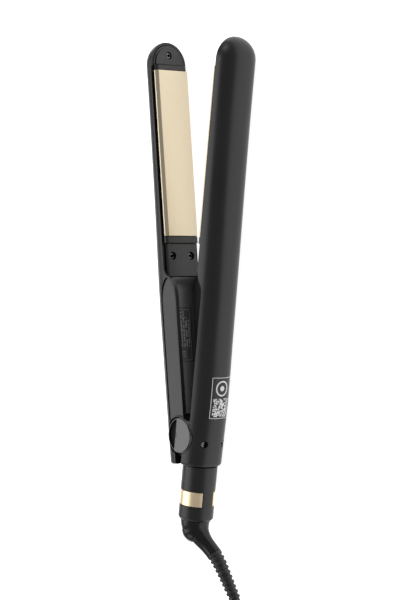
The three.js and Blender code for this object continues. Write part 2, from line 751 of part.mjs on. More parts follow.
function plugBody() {
  const y = coil.y - coilOuter + cord.radius;
  const height = plug.halfHeight - halfWidth;
  const back = plug.start;
  const front = back - plug.length;
  const top = outline([
    [back, -7.2], [back - 12, -9.5], [back - 20, -17], [front, -17.6],
    [front, 17.6], [back - 20, 17], [back - 12, 9.5], [back, 7.2],
  ]);
  const bevel = { bevelThickness: 1.5, bevelSize: 1.5, bevelOffset: -1.5, bevelSegments: 2 };
  const body = new THREE.ExtrudeGeometry(top, { depth: 2 * plug.halfHeight - 3, ...bevel, steps: 1 });
  body.translate(0, y, -halfWidth + 1.5);
  const sleeve = turned([
    [0, back - 2], [6, back - 2], [5.2, back + 6], [4.4, back + 18], [0, back + 18],
  ], 'x', 24).translate(0, y, height);
  return join(body, sleeve);
}

function plugPins() {
  const y = coil.y - coilOuter + cord.radius;
  const front = plug.start - plug.length - gap;
  const end = front - plug.pinLength;
  const pin = turned([[0, front], [2, front], [2, end + 1.4], [1.2, end], [0, end]], 'x');
  const height = plug.halfHeight - halfWidth;
  return [-1, 1].map((side) => pin.clone().translate(0, y + side * plug.pinSpacing / 2, height));
}

// Assembly

const straightener = new THREE.Group();
const fixedArm = new THREE.Group();
const movingArm = new THREE.Group();
fixedArm.position.z = halfWidth;
movingArm.position.z = halfWidth;
movingArm.rotation.z = openAngle;
straightener.add(fixedArm, movingArm);

function add(group, name, geometry, look) {
  const material = new THREE.MeshStandardMaterial(finishes[look]);
  const mesh = new THREE.Mesh(closedMesh(geometry), material);
  mesh.name = name;
  group.add(mesh);
}

function addPair(group, name, pair, look) {
  ['upper', 'lower'].forEach((end, i) => add(group, `${name}_${end}`, pair[i], look));
}

// Pieces that both arms have, the moving arm's as mirror images.
for (const [name, arm] of Object.entries(arms)) {
  const group = arm.side > 0 ? fixedArm : movingArm;
  const pieces = {
    shell: [armShell(arm), 'satinBlack'],
    heating_plate: [heatingPlate(), 'champagne'],
    plate_carrier: [plateCarrier(), 'innerBlack'],
    plate_cushion: [plateCushion(), 'silicone'],
    heater: [heater(), 'ceramic'],
    heater_clamp: [heaterClamp(), 'steel'],
    temperature_sensor: [sensorCan(), 'steel'],
    inner_cover: [innerCover(), 'satinBlack'],
    tip_cap: [tipCap(), 'satinBlack'],
    tip_screw: [tipScrew(), 'blackSteel'],
    handle_liner: [handleLiner(arm), 'innerBlack'],
    hinge_block: [arm.side > 0 ? fixedHingeBlock() : movingHingeBlock(), 'innerBlack'],
  };
  for (const [piece, [geometry, look]] of Object.entries(pieces)) {
    add(group, `${name}_${piece}`, arm.side > 0 ? geometry : mirrored(geometry), look);
  }
  const screws = arm.side > 0 ? coverScrews() : coverScrews().map(mirrored);
  addPair(group, `${name}_cover_screw`, screws, 'blackSteel');
}

addPair(movingArm, 'cheek_panel', bothSides(prismZ(petal(0), 13.3, 14)).map(mirrored), 'satinBlack');
add(movingArm, 'rating_label', mirrored(ratingLabel()), 'label');

addPair(fixedArm, 'hinge_cap', bothSides(hingeCap()), 'satinBlack');
add(fixedArm, 'hinge_pin', hingePin(), 'steel');
addPair(fixedArm, 'hinge_washer', hingeWashers(), 'steel');
add(fixedArm, 'hinge_spring', hingeSpring(), 'steel');
addPair(fixedArm, 'back_screw', backScrews(), 'blackSteel');
add(fixedArm, 'power_button', powerButton(), 'glossBlack');
add(fixedArm, 'lamp_lens', lampLens(), 'lamp');
add(fixedArm, 'control_board', controlBoard(), 'board');
add(fixedArm, 'neck_sleeve', neckSleeve(), 'satinBlack');
addPair(fixedArm, 'neck_band', neckBands(), 'gold');
add(fixedArm, 'swivel_retainer', swivelRetainer(), 'steel');
add(fixedArm, 'swivel_spigot', swivelSpigot(), 'innerBlack');
add(fixedArm, 'swivel_elbow', swivelElbow(), 'glossBlack');
add(fixedArm, 'strain_relief', strainRelief(), 'rubber');
add(fixedArm, 'cord_lead', cordLead(), 'rubber');
add(fixedArm, 'cord_coil', cordCoil(), 'rubber');
add(fixedArm, 'cord_tail', cordTail(), 'rubber');
add(fixedArm, 'cord_tie', cordTie(), 'rubber');
add(fixedArm, 'plug_body', plugBody(), 'rubber');
addPair(fixedArm, 'plug_pin', plugPins(), 'steel');

export default straightener;
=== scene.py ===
# Hair straightener lying open on its side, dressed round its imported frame. Metres, +Z up.
# A piece is shaped in millimetres in its arm's own closed position: x is the depth behind the plane
# where the plates meet, y runs from hinge to tip, z is 0 in the middle of the width. Then it is put in place.
import math

import bmesh
import bpy
from mathutils import Matrix, Quaternion, Vector
from mathutils.geometry import interpolate_bezier


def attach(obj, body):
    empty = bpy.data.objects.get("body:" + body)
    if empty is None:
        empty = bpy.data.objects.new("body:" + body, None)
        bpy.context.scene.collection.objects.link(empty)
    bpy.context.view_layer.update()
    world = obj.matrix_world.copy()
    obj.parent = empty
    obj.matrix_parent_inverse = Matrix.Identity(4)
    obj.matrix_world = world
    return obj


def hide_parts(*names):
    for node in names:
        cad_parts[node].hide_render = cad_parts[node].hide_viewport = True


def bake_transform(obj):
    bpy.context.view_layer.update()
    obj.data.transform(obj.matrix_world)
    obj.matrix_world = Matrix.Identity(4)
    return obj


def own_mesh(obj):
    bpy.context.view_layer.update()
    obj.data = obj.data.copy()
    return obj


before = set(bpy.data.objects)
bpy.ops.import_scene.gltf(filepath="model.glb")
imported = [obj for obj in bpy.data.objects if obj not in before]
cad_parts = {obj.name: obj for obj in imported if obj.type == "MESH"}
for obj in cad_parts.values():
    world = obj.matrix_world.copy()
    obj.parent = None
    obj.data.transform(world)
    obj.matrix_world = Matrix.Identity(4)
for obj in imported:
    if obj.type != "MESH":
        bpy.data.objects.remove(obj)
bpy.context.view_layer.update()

mm = 0.001
armHalfWidth = 15        # the arms lie on their sides, so the middle of their width is this high
openAngle = 13.2         # degrees between the arms at rest
print("frame:", len(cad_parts), "nodes")

# Camera, floor and lights

cameraSetup = {
    "azimuth": 9.14, "elevation": 40.56, "roll": -90.99, "aim": (-0.00761, 0.08801, 0.015),
    "distance": 1.3941, "lens": 127.9,
}
floorSetup = {"size": 3.0, "squares": 12}
softboxes = {
    # name: (azimuth, elevation, distance, width, height, radiance)
    "key": (190, 56, 1.6, 1.5, 1.5, 2.0),
    "head": (95, 34, 1.8, 1.0, 0.8, 2.2),
    "foot": (262, 34, 1.8, 1.0, 0.8, 1.6),
}
skyStrength = 0.36


def direction(azimuth, elevation):
    a, e = math.radians(azimuth), math.radians(elevation)
    return Vector((math.cos(a) * math.cos(e), math.sin(a) * math.cos(e), math.sin(e)))


def addCamera():
    back = direction(cameraSetup["azimuth"], cameraSetup["elevation"])
    camera = bpy.data.objects.new("camera", bpy.data.cameras.new("camera"))
    camera.data.lens = cameraSetup["lens"]
    camera.data.sensor_width = 36
    camera.location = Vector(cameraSetup["aim"]) + back * cameraSetup["distance"]
    turn = Quaternion((0, 0, 1), math.radians(cameraSetup["roll"]))
    camera.rotation_mode = "QUATERNION"
    camera.rotation_quaternion = back.to_track_quat("Z", "Y") @ turn
    bpy.context.scene.collection.objects.link(camera)
    bpy.context.scene.camera = camera


def addLights():
    middle = Vector(cameraSetup["aim"])
    for name, (azimuth, elevation, distance, width, height, radiance) in softboxes.items():
        light = bpy.data.lights.new(name, "AREA")
        light.shape = "RECTANGLE"
        light.size = width
        light.size_y = height
        light.energy = radiance * math.pi * width * height
        lamp = bpy.data.objects.new(name, light)
        back = direction(azimuth, elevation)
        lamp.location = middle + back * distance
        lamp.rotation_euler = back.to_track_quat("Z", "Y").to_euler()
        bpy.context.scene.collection.objects.link(lamp)
    world = bpy.data.worlds.new("studio")
    world.use_nodes = True
    world.node_tree.nodes["Background"].inputs["Color"].default_value = (1, 1, 1, 1)
    world.node_tree.nodes["Background"].inputs["Strength"].default_value = skyStrength
    bpy.context.scene.world = world
    bpy.context.scene.view_settings.view_transform = "Standard"


addCamera()
addLights()
print("camera and lights")

# Materials


class Wire:
    # one output of a material's node, which Python's own operators work on
    def __init__(self, finish, socket):
        self.finish = finish
        self.socket = socket

    def maths(self, operation, *values):
        return self.finish.node("ShaderNodeMath", {"operation": operation}, dict(enumerate(values)))

    def __add__(self, other):
        return self.maths("ADD", self, other)

    def __sub__(self, other):
        return self.maths("SUBTRACT", self, other)

    def __mul__(self, other):
        return self.maths("MULTIPLY", self, other)

    def __truediv__(self, other):
        return self.maths("DIVIDE", self, other)

    def __pow__(self, other):
        return self.maths("POWER", self, other)

    def __gt__(self, other):
        return self.maths("GREATER_THAN", self, other)

    def __lt__(self, other):
        return self.maths("LESS_THAN", self, other)

    def floor(self):
        return self.maths("FLOOR", self)

    def fraction(self):
        return self.maths("FRACT", self)

    def larger(self, other):
        return self.maths("MAXIMUM", self, other)


class Finish:
    # a material with one shader; same-all-over numbers go on the shader's own sockets
    def __init__(self, name, **uniform):
        self.material = bpy.data.materials.new(name)
        self.material.use_nodes = True
        self.tree = self.material.node_tree
        self.shader = self.tree.nodes["Principled BSDF"]
        for socket, value in uniform.items():
            self.shader.inputs[socket.replace("_", " ")].default_value = value

    def feed(self, socket, value):
        if isinstance(value, Wire):
            self.tree.links.new(value.socket, socket)
        else:
            socket.default_value = value

    def node(self, kind, settings=None, values=None, output=0):
        made = self.tree.nodes.new(kind)
        for key, value in (settings or {}).items():
            setattr(made, key, value)
        for key, value in (values or {}).items():
            self.feed(made.inputs[key], value)
        return Wire(self, made.outputs[output])

    def surface(self, **varying):
        for socket, value in varying.items():
            self.feed(self.shader.inputs[socket.replace("_", " ")], value)

    def place(self, turn=0.0, stretch=(1, 1, 1)):
        coordinates = self.node("ShaderNodeTexCoord", output="Object")
        return self.node("ShaderNodeMapping", {"vector_type": "TEXTURE"}, {
            "Vector": coordinates, "Rotation": (0, 0, math.radians(turn)), "Scale": stretch,
        })

    def noise(self, vector, scale, detail=2.0, roughness=0.5):
        return self.node("ShaderNodeTexNoise", None, {
            "Vector": vector, "Scale": scale, "Detail": detail, "Roughness": roughness,
        })

    def mixed(self, factor, first, second):
        return self.node("ShaderNodeMix", {"data_type": "RGBA"}, {0: factor, 6: first, 7: second}, output=2)

    def bumped(self, height, strength, distance):
        normal = self.node("ShaderNodeBump", None, {
            "Strength": strength, "Distance": distance, "Height": height,
        })
        self.surface(Normal=normal)


def grey(value, warm=0.0):
    return (value * (1 + warm), value, value * (1 - warm), 1)


# Moulded plastic: a spark-eroded grain, and slow changes of gloss and shade where hands have rubbed it.
def mouldedPlastic(name, shade, roughness, grain=0.00035, depth=0.00004, strength=0.35, **uniform):
    finish = Finish(name, **uniform)
    place = finish.place()
    slow = finish.noise(place, 24, 3)
    spark = finish.noise(place, 1 / grain, 2, 0.6)
    finish.surface(
        Roughness=(slow - 0.5) * 0.16 + (spark - 0.5) * 0.12 + roughness,
        Base_Color=finish.mixed(slow, grey(shade * 0.85), grey(shade * 1.2)),
    )
    finish.bumped(spark, strength, depth)
    return finish


# Coated metal with fine lines along the arm.
def brushedMetal(name, colour, paler, roughness, turn=0.0, lines=2600, **uniform):
    finish = Finish(name, Metallic=1.0, **uniform)
    along = finish.place(turn, (1, 60, 1))
    streaks = finish.noise(along, lines, 3, 0.6)
    slow = finish.noise(finish.place(turn, (1, 3, 1)), 40, 2)
    finish.surface(
        Roughness=(streaks - 0.5) * 0.16 + (slow - 0.5) * 0.1 + roughness,
        Base_Color=finish.mixed(slow * 0.6 + streaks * 0.4, colour, paler),
    )
    finish.bumped(streaks, 0.12, 0.00003)
    return finish


def smoothMetal(name, colour, roughness, **uniform):
    finish = Finish(name, Metallic=1.0, **uniform)
    place = finish.place()
    slow = finish.noise(place, 60, 3)
    fine = finish.noise(place, 2200, 2)
    finish.surface(
        Roughness=(slow - 0.5) * 0.08 + (fine - 0.5) * 0.05 + roughness,
        Base_Color=finish.mixed(slow, colour, tuple(0.9 * part for part in colour[:3]) + (1,)),
    )
    finish.bumped(fine, 0.06, 0.00002)
    return finish


def between(value, low, high):
    return (value > low) * (value < high)


# Pale print on a dark moulding: a thin frame, a ring with a dot in it, and a field of small squares.
# A box is (low, high, left, right): two places along the arm, then two across it.
printSetup = {
    "frame": (14.4, 41.4, -9.8, 6.8), "line": 0.36,
    "ringAt": (34.2, -1.0), "ringRadius": 5.1, "ringWidth": 1.0, "dotShare": 0.34,
    "field": (15.6, 27.6, -8.0, 5.2), "cell": 0.66, "empty": 0.46, "backStart": 0.012,
}


# Coordinates of a material, parted: depth in metres, then millimetres along and across the arm.
def armDistances(finish, place):
    apart = finish.node("ShaderNodeSeparateXYZ", None, {"Vector": place}, output="X")
    depth, along, height = (Wire(finish, apart.socket.node.outputs[axis]) for axis in "XYZ")
    return depth, along * 1000, height * 1000 - armHalfWidth


def boxed(along, across, box, inset=0.0):
    low, high, left, right = box
    return between(along, low + inset, high - inset) * between(across, left + inset, right - inset)


def boxLine(along, across, box, line):
    return boxed(along, across, box) - boxed(along, across, box, line)


def printedShell():
    finish = mouldedPlastic("satinBlackPrinted", *satin, Specular_IOR_Level=0.38)
    place = finish.node("ShaderNodeTexCoord", output="Object")
    depth, along, across = armDistances(finish, place)
    frameLine = boxLine(along, across, printSetup["frame"], printSetup["line"])
    ringY, ringZ = printSetup["ringAt"]
    ringRadius = printSetup["ringRadius"]
    radius = ((along - ringY) ** 2 + (across - ringZ) ** 2) ** 0.5
    ring = between(radius, ringRadius - printSetup["ringWidth"], ringRadius)
    dot = radius < ringRadius * printSetup["dotShare"]
    cell = printSetup["cell"]
    corner = finish.node("ShaderNodeCombineXYZ", None, {
        "X": (along / cell).floor(), "Y": (across / cell).floor(),
    })
    chance = finish.node("ShaderNodeTexWhiteNoise", {"noise_dimensions": "2D"}, {"Vector": corner})
    field = (chance > printSetup["empty"]) * boxed(along, across, printSetup["field"])
    ink = frameLine.larger(ring).larger(dot).larger(field) * (depth > printSetup["backStart"])
    base = Wire(finish, finish.shader.inputs["Base Color"].links[0].from_socket)
    rough = Wire(finish, finish.shader.inputs["Roughness"].links[0].from_socket)
    finish.surface(Base_Color=finish.mixed(ink, base, (0.62, 0.62, 0.63, 1)), Roughness=rough + ink * 0.12)
    return finish


# Dark foil label with a thin frame, plain bars in rows and a small open square.
labelSetup = {
    "rim": (49.1, 82.9, -7.2, 7.2), "rimLine": 0.3, "pitch": 2.1, "bar": 0.55, "barsHalf": 6.3,
    "barsStart": 58, "barsEnd": 74, "ragged": 8, "wordScale": 0.9, "rowShift": 7.3, "gap": 0.44,
    "squares": [((50.8, 55.2, -2.2, 2.2), 0.5), ((51.9, 54.1, -1.1, 1.1), 0.4)],
}


def ratedLabel():
    finish = Finish("printedLabel", Metallic=0.15, Specular_IOR_Level=0.5)
    place = finish.place(openAngle)
    along, across = armDistances(finish, place)[1:]
    row = (across / labelSetup["pitch"]).floor()
    inBar = (across / labelSetup["pitch"]).fraction() < labelSetup["bar"]
    ends = finish.node("ShaderNodeTexWhiteNoise", {"noise_dimensions": "1D"}, {"W": row + 0.5})
    word = finish.node("ShaderNodeTexNoise", {"noise_dimensions": "2D"}, {
        "Vector": finish.node("ShaderNodeCombineXYZ", None, {
            "X": along * labelSetup["wordScale"], "Y": row * labelSetup["rowShift"],
        }), "Scale": 1.0,
    })
    lines = between(along, labelSetup["barsStart"], ends * labelSetup["ragged"] + labelSetup["barsEnd"])
    bars = inBar * (word > labelSetup["gap"]) * lines
    bars = bars * between(across, -labelSetup["barsHalf"], labelSetup["barsHalf"])
    ink = boxLine(along, across, labelSetup["rim"], labelSetup["rimLine"]).larger(bars)
    for box, line in labelSetup["squares"]:
        ink = ink.larger(boxLine(along, across, box, line))
    fine = finish.noise(place, 1800, 2)
    finish.surface(
        Base_Color=finish.mixed(ink, grey(0.05), grey(0.26)),
        Roughness=(fine - 0.5) * 0.1 + ink * 0.1 + 0.34,
    )
    finish.bumped(fine, 0.08, 0.00002)
    return finish


# Circuit board lacquer over copper tracks.
def boardLacquer():
    finish = Finish("boardLacquer")
    place = finish.place()
    tracks = finish.node("ShaderNodeTexBrick", None, {
        "Vector": place, "Scale": 220, "Color1": (0.02, 0.16, 0.05, 1), "Color2": (0.03, 0.22, 0.07, 1),
        "Mortar": (0.05, 0.3, 0.1, 1),
    }, output="Color")
    finish.surface(Base_Color=tracks, Roughness=finish.noise(place, 300) * 0.2 + 0.3)
    return finish


def lampPlastic():
    finish = mouldedPlastic("lampRed", 0.2, 0.15, strength=0.05, Transmission_Weight=0.3)
    slow = finish.noise(finish.place(), 400)
    finish.surface(Base_Color=finish.mixed(slow, (0.5, 0.03, 0.01, 1), (0.6, 0.06, 0.02, 1)))
    return finish


satin = (0.0085, 0.34)                                              # shade, roughness
champagne = ((0.54, 0.465, 0.34, 1), (0.6, 0.525, 0.395, 1), 0.36)  # two colours, roughness
finishes = {
    "satinBlack": mouldedPlastic("satinBlack", *satin, Specular_IOR_Level=0.38),
    "panelBlack": mouldedPlastic("panelBlack", *satin),
    # paler copy of the black plastic: painted light on the handle liners and on the shells' inner walls
    "linerBlackPaintedLight": mouldedPlastic("linerBlackPaintedLight", 0.075, 0.3, Specular_IOR_Level=0.6),
    "satinPrinted": printedShell(),
    "glossBlack": mouldedPlastic("glossBlack", 0.005, 0.22, strength=0.05, Specular_IOR_Level=0.3),
    "matBlack": mouldedPlastic("matBlack", 0.008, 0.42, grain=0.0005, strength=0.4),
    "plateFixed": brushedMetal("champagneFixed", *champagne),
    "capBlack": mouldedPlastic("capBlack", 0.012, 0.3, Specular_IOR_Level=0.95),
    # dull, darkest black: painted shade in the hinge caps' sunk floors and the screws' cross recesses
    "recessBlackPaintedShade": mouldedPlastic("recessBlackPaintedShade", 0.004, 0.7, Specular_IOR_Level=0.1),
    "plateMoving": brushedMetal("champagneMoving", *champagne, openAngle),
    "gold": smoothMetal("polishedGold", (0.98, 0.79, 0.53, 1), 0.36),
    "steel": smoothMetal("drawnSteel", (0.55, 0.55, 0.56, 1), 0.28),
    "blackSteel": smoothMetal("blackenedSteel", (0.2, 0.2, 0.21, 1), 0.28),
    "ceramic": mouldedPlastic("ceramic", 0.75, 0.6, grain=0.0006),
    "silicone": mouldedPlastic("silicone", 0.5, 0.7, grain=0.0006),
    "board": boardLacquer(),
    "cordBlack": mouldedPlastic("cordBlack", 0.01, 0.42, grain=0.0006, strength=0.25),
    "strap": mouldedPlastic("wovenStrap", 0.018, 0.8, grain=0.0009, depth=0.0002, strength=0.8),
    "label": ratedLabel(),
    "lamp": lampPlastic(),
}
print("materials:", len(finishes))

# Shaping


def placeOf(arm):
    up = Matrix.Translation((0, 0, armShape["halfWidth"] * mm))
    if arm == "moving":
        opened = Matrix.Rotation(math.radians(armShape["openAngle"]), 4, "Z")
        return up @ opened @ Matrix.Diagonal((-mm, mm, mm, 1))
    return up @ Matrix.Diagonal((mm, mm, mm, 1))


def linked(name, mesh):
    piece = bpy.data.objects.new(name, mesh)
    bpy.context.scene.collection.objects.link(piece)
    return piece


# The shape becomes a piece in its place: doubles merged, faces outwards, creases sharp.
def finished(name, bm, finish, nodes, arm="fixed", body=None, sharp=38, merge=0.004):
    bmesh.ops.remove_doubles(bm, verts=bm.verts, dist=merge)
    bmesh.ops.transform(bm, matrix=placeOf(arm), verts=bm.verts)
    bmesh.ops.recalc_face_normals(bm, faces=bm.faces)
    for face in bm.faces:
        face.smooth = True
    for edge in bm.edges:
        edge.smooth = edge.calc_face_angle(0) < math.radians(sharp)
    mesh = bpy.data.meshes.new(name)
    bm.to_mesh(mesh)
    bm.free()
    mesh.materials.append(finishes[finish].material)
    piece = linked(name, mesh)
    weighted = piece.modifiers.new("weightedNormals", "WEIGHTED_NORMAL")
    weighted.keep_sharp = True
    weighted.weight = 80
    if body:
        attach(piece, body)
    if nodes:
        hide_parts(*nodes)
    return piece


def emptyShape():
    return bmesh.new()


# Cuts, joins or keeps the common part of closed shapes.
def carved(base, *tools, operation="DIFFERENCE"):
    helpers = []
    for shape in (base, *tools):
        bmesh.ops.remove_doubles(shape, verts=shape.verts, dist=0.001)
        bmesh.ops.recalc_face_normals(shape, faces=shape.faces)
        mesh = bpy.data.meshes.new("helper")
        shape.to_mesh(mesh)
        shape.free()
        helpers.append(linked("helper", mesh))
    for tool in helpers[1:]:
        modifier = helpers[0].modifiers.new("carve", "BOOLEAN")
        modifier.operation = operation
        modifier.solver = "EXACT"
        modifier.object = tool
    bpy.context.view_layer.update()
    result = emptyShape()
    result.from_object(helpers[0], bpy.context.evaluated_depsgraph_get())
    for helper in helpers:
        mesh = helper.data
        bpy.data.objects.remove(helper)
        bpy.data.meshes.remove(mesh)
    return result


def softened(bm, width, segments=2, sharp=32):
    bmesh.ops.remove_doubles(bm, verts=bm.verts, dist=0.004)
    edges = [edge for edge in bm.edges if edge.is_manifold and edge.calc_face_angle(0) > math.radians(sharp)]
    bmesh.ops.bevel(
        bm, geom=edges, offset=width, offset_type="OFFSET", affect="EDGES", segments=segments,
        profile=0.5, material=-1, clamp_overlap=True,
    )
    return bm


# Skins a row of closed loops with equal counts, and caps both ends.
def lofted(sections):
    bm = emptyShape()
    ring = [bm.verts.new(point) for point in sections[0]]
    edges = [bm.edges.new((vert, ring[(i + 1) % len(ring)])) for i, vert in enumerate(ring)]
    bmesh.ops.contextual_create(bm, geom=edges)
    for section in sections[1:]:
        grown = bmesh.ops.extrude_edge_only(bm, edges=edges)["geom"]
        fresh = {item for item in grown if isinstance(item, bmesh.types.BMVert)}
        edges = [item for item in grown if isinstance(item, bmesh.types.BMEdge)
                 and item.verts[0] in fresh and item.verts[1] in fresh]
        ring = [next(edge.other_vert(vert) for edge in vert.link_edges if edge.other_vert(vert) in fresh)
                for vert in ring]
        for vert, point in zip(ring, section):
            vert.co = point
    bmesh.ops.contextual_create(bm, geom=edges)
    return bm


# Outline in two axes, drawn out along the third.
def prism(points, axis, low, high):
    bm = emptyShape()
    place = {"x": lambda a, b: (low, a, b), "y": lambda a, b: (a, low, b), "z": lambda a, b: (a, b, low)}
    verts = [bm.verts.new(place[axis](a, b)) for a, b in points]
    face = bm.faces.new(verts)
    grown = bmesh.ops.extrude_face_region(bm, geom=[face])["geom"]
    step = {"x": (high - low, 0, 0), "y": (0, high - low, 0), "z": (0, 0, high - low)}[axis]
    bmesh.ops.translate(bm, vec=step, verts=[item for item in grown if isinstance(item, bmesh.types.BMVert)])
    return bm


def block(x, y, z):
    return prism([(x[0], y[0]), (x[1], y[0]), (x[1], y[1]), (x[0], y[1])], "z", *z)


# A profile of [radius, distance along the axis], spun a full turn.
def turned(profile, axis, segments=48, centre=(0, 0, 0)):
    bm = emptyShape()
    across = Vector((0, 0, 1)) if axis != "z" else Vector((1, 0, 0))
    along = {"x": Vector((1, 0, 0)), "y": Vector((0, 1, 0)), "z": Vector((0, 0, 1))}[axis]
    verts = [bm.verts.new(Vector(centre) + across * radius + along * place) for radius, place in profile]
    edges = [bm.edges.new(pair) for pair in zip(verts, verts[1:])]
    bmesh.ops.spin(bm, geom=verts + edges, cent=centre, axis=along, dvec=(0, 0, 0), angle=2 * math.pi,
                   steps=segments, use_merge=True, use_duplicate=False)
    bmesh.ops.remove_doubles(bm, verts=bm.verts, dist=0.001)
    bmesh.ops.recalc_face_normals(bm, faces=bm.faces)
    return bm


def rod(radius, low, high, axis, segments=48, centre=(0, 0, 0)):
    return turned([(0, low), (radius, low), (radius, high), (0, high)], axis, segments, centre)


def mirroredZ(bm):
    twin = bm.copy()
    bmesh.ops.scale(twin, vec=(1, 1, -1), verts=twin.verts)
    bmesh.ops.recalc_face_normals(twin, faces=twin.faces)
    return twin


# Smooth height of a [place, value] list, as the arms' backs need.
def curveThrough(points):
    def slope(i):
        before, after = points[max(i - 1, 0)], points[min(i + 1, len(points) - 1)]
        return (after[1] - before[1]) / (after[0] - before[0])

    def value(y):
        if y <= points[0][0]:
            return points[0][1]
        if y >= points[-1][0]:
            return points[-1][1]
        i = next(k for k, point in enumerate(points) if point[0] > y) - 1
        length = points[i + 1][0] - points[i][0]
        t = (y - points[i][0]) / length
        start = points[i][1] * (1 + 2 * t) + slope(i) * length * t
        end = points[i + 1][1] * (3 - 2 * t) - slope(i + 1) * length * (1 - t)
        return start * (1 - t) ** 2 + end * t ** 2

    return value


# Centripetal smooth curve through points, sampled evenly enough for a tube.
def smoothRoute(points, spacing):
    points = [Vector(point) for point in points]
    ends = [points[0] * 2 - points[1], *points, points[-1] * 2 - points[-2]]
    route = []
    for a, b, c, d in zip(ends, ends[1:], ends[2:], ends[3:]):
        knots = [0.0]
        for first, second in ((a, b), (b, c), (c, d)):
            knots.append(knots[-1] + math.sqrt((second - first).length))
        count = max(2, round((c - b).length / spacing))
        for k in range(count):
            t = knots[1] + (knots[2] - knots[1]) * k / count
            level = [a, b, c, d]
            for spans in [(0, 1), (1, 2), (2, 3)], [(0, 2), (1, 3)], [(1, 2)]:
                shares = [(t - knots[low]) / (knots[high] - knots[low]) for low, high in spans]
                level = [first.lerp(second, share) for first, second, share in zip(level, level[1:], shares)]
            route.append(level[0])
    route.append(points[-1])
    return route


# A round tube along a route, its radius a function of the distance covered.
def swept(route, radiusAt, sides):
    distance = 0.0
    up = Vector((0, 0, 1))
    sections = []
    for i, point in enumerate(route):
        if i:
            distance += (point - route[i - 1]).length
        ahead = (route[min(i + 1, len(route) - 1)] - route[max(i - 1, 0)]).normalized()
        up = (up - ahead * up.dot(ahead)).normalized()
        across = ahead.cross(up)
        radius = radiusAt(distance)
        turns = [2 * math.pi * k / sides for k in range(sides)]
        sections.append([
            point + across * (radius * math.cos(turn)) + up * (radius * math.sin(turn)) for turn in turns
        ])
    return lofted(sections)


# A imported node's solid, merged and with flat faces whole again, in its arm's own millimetres.
def fromNode(node, arm):
    bm = emptyShape()
    bm.from_mesh(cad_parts[node].data)
    bmesh.ops.transform(bm, matrix=placeOf(arm).inverted(), verts=bm.verts)
    bmesh.ops.remove_doubles(bm, verts=bm.verts, dist=0.003)
    bmesh.ops.dissolve_limit(bm, angle_limit=math.radians(0.7), verts=bm.verts, edges=bm.edges)
    bmesh.ops.recalc_face_normals(bm, faces=bm.faces)
    return bm


# Arm shells

armShape = {
    "openAngle": openAngle, "gap": 0.3, "halfWidth": armHalfWidth, "wall": 1.7, "widestDepth": 4.5,
    "power": 2.2, "tipCentre": 245.5, "armEnd": -18.5, "endRounding": 2, "endSteps": 4, "coverStart": 104,
    "openDepth": -12, "plateRim": 4.5, "hingeFlat": 4.8, "edgeStart": -4, "linerDepth": 9.5, "skirt": -6,
    "sectionSteps": 40, "rowLength": 6.5, "tipSteps": 16, "hingeClearance": 12.3, "cheekFloor": 11.5,
    "endNotch": 10.2, "edge": 0.22, "far": 40,
}
arms = {
    "fixed": {
        "back": curveThrough([
            (-20, 18.9), (5, 20.1), (27, 21), (60, 20.2), (95, 19.6), (125, 18.8), (160, 17.8), (210, 16.8),
        ]),
        "cavityHalfWidth": 13.3, "finish": "satinPrinted",
    },
    "moving": {
        "back": curveThrough([
            (-20, 17.8), (5, 18.3), (30, 18.8), (60, 19.2), (90, 19.5), (125, 18.6), (160, 17.6), (210, 16.8),
        ]),
        "cavityHalfWidth": 12.2, "finish": "satinBlack",
    },
}
neck = {
    "x": 6.9, "radius": 11.5, "spigotRadius": 10.4, "top": -13, "shoulder": -18.8, "end": -55,
    "bandStart": -35.2, "bandEnd": -45.4, "bandDepth": 0.9, "pillarWidth": 8.6,
    "socket": 8.3, "socketTop": -47, "bore": 3.4, "boreTop": -24,
}


def armSection(y, openDepth, half, back):
    points = [Vector((openDepth, y, half))]
    for i in range(armShape["sectionSteps"] + 1):
        angle = math.pi * (0.5 - i / armShape["sectionSteps"])
        depth = abs(math.cos(angle)) ** (2 / armShape["power"])
        width = math.copysign(abs(math.sin(angle)) ** (2 / armShape["power"]), math.sin(angle))
        widest = armShape["widestDepth"]
        points.append(Vector((widest + (back - widest) * depth, y, half * width)))
    points.append(Vector((openDepth, y, -half)))
    return points


# The arm's whole length, narrowing to a round tip; inset makes the hollow inside it.
def armBody(arm, start, half, inset):
    openDepth, widest, back = armShape["openDepth"], armShape["widestDepth"], arms[arm]["back"]
    rounding, tipCentre, endSteps = armShape["endRounding"], armShape["tipCentre"], armShape["endSteps"]
    sections = []
    for step in range(endSteps + 1):
        turn = math.pi / 2 * (1 - step / endSteps)
        draw = rounding * (1 - math.cos(turn))
        y = start + rounding * (1 - math.sin(turn))
        sections.append(armSection(y, openDepth, half - draw, back(y) - inset - draw))
    rows = round((tipCentre - start) / armShape["rowLength"])
    for i in range(1, rows + 1):
        y = start + rounding + (tipCentre - start - rounding) * i / rows
        sections.append(armSection(y, openDepth, half, back(y) - inset))
    for i in range(1, armShape["tipSteps"]):
        turn = math.pi / 2 * i / armShape["tipSteps"]
        y = tipCentre + (armShape["halfWidth"] - inset) * math.sin(turn)
        depth = widest + (back(y) - inset - widest) * math.cos(turn)
        sections.append(armSection(y, openDepth, half * math.cos(turn), depth))
    return lofted(sections)


def bezier(start, first, second, end, steps=14):
    points = interpolate_bezier(*(Vector((*point, 0)) for point in (start, first, second, end)), steps)
    return [(point.x, point.y) for point in points]


# Everything in front of an arm's open edge.
def openSide(arm):
    rim, flat, start, far = (armShape[key] for key in ("plateRim", "hingeFlat", "edgeStart", "far"))
    if arm == "fixed":
        deep = armShape["linerDepth"]
        edge = [(deep, start), *bezier((deep, 95), (deep, 102), (rim, 101), (rim, 113))]
    else:
        skirt, shoulder = armShape["skirt"], (0.5, 104.4)
        edge = [(skirt, start), *bezier((skirt, 88), (skirt, 97), (-3.5, 102), shoulder),
                *bezier(shoulder, (2.6, 105.6), (rim, 107), (rim, 109))[1:]]
    beyond = armShape["tipCentre"] + far
    edge = [(-far, -far), (flat, -far), (flat, start), *edge, (rim, beyond), (-far, beyond)]
    return prism(edge, "z", -armShape["halfWidth"] - 1, armShape["halfWidth"] + 1)


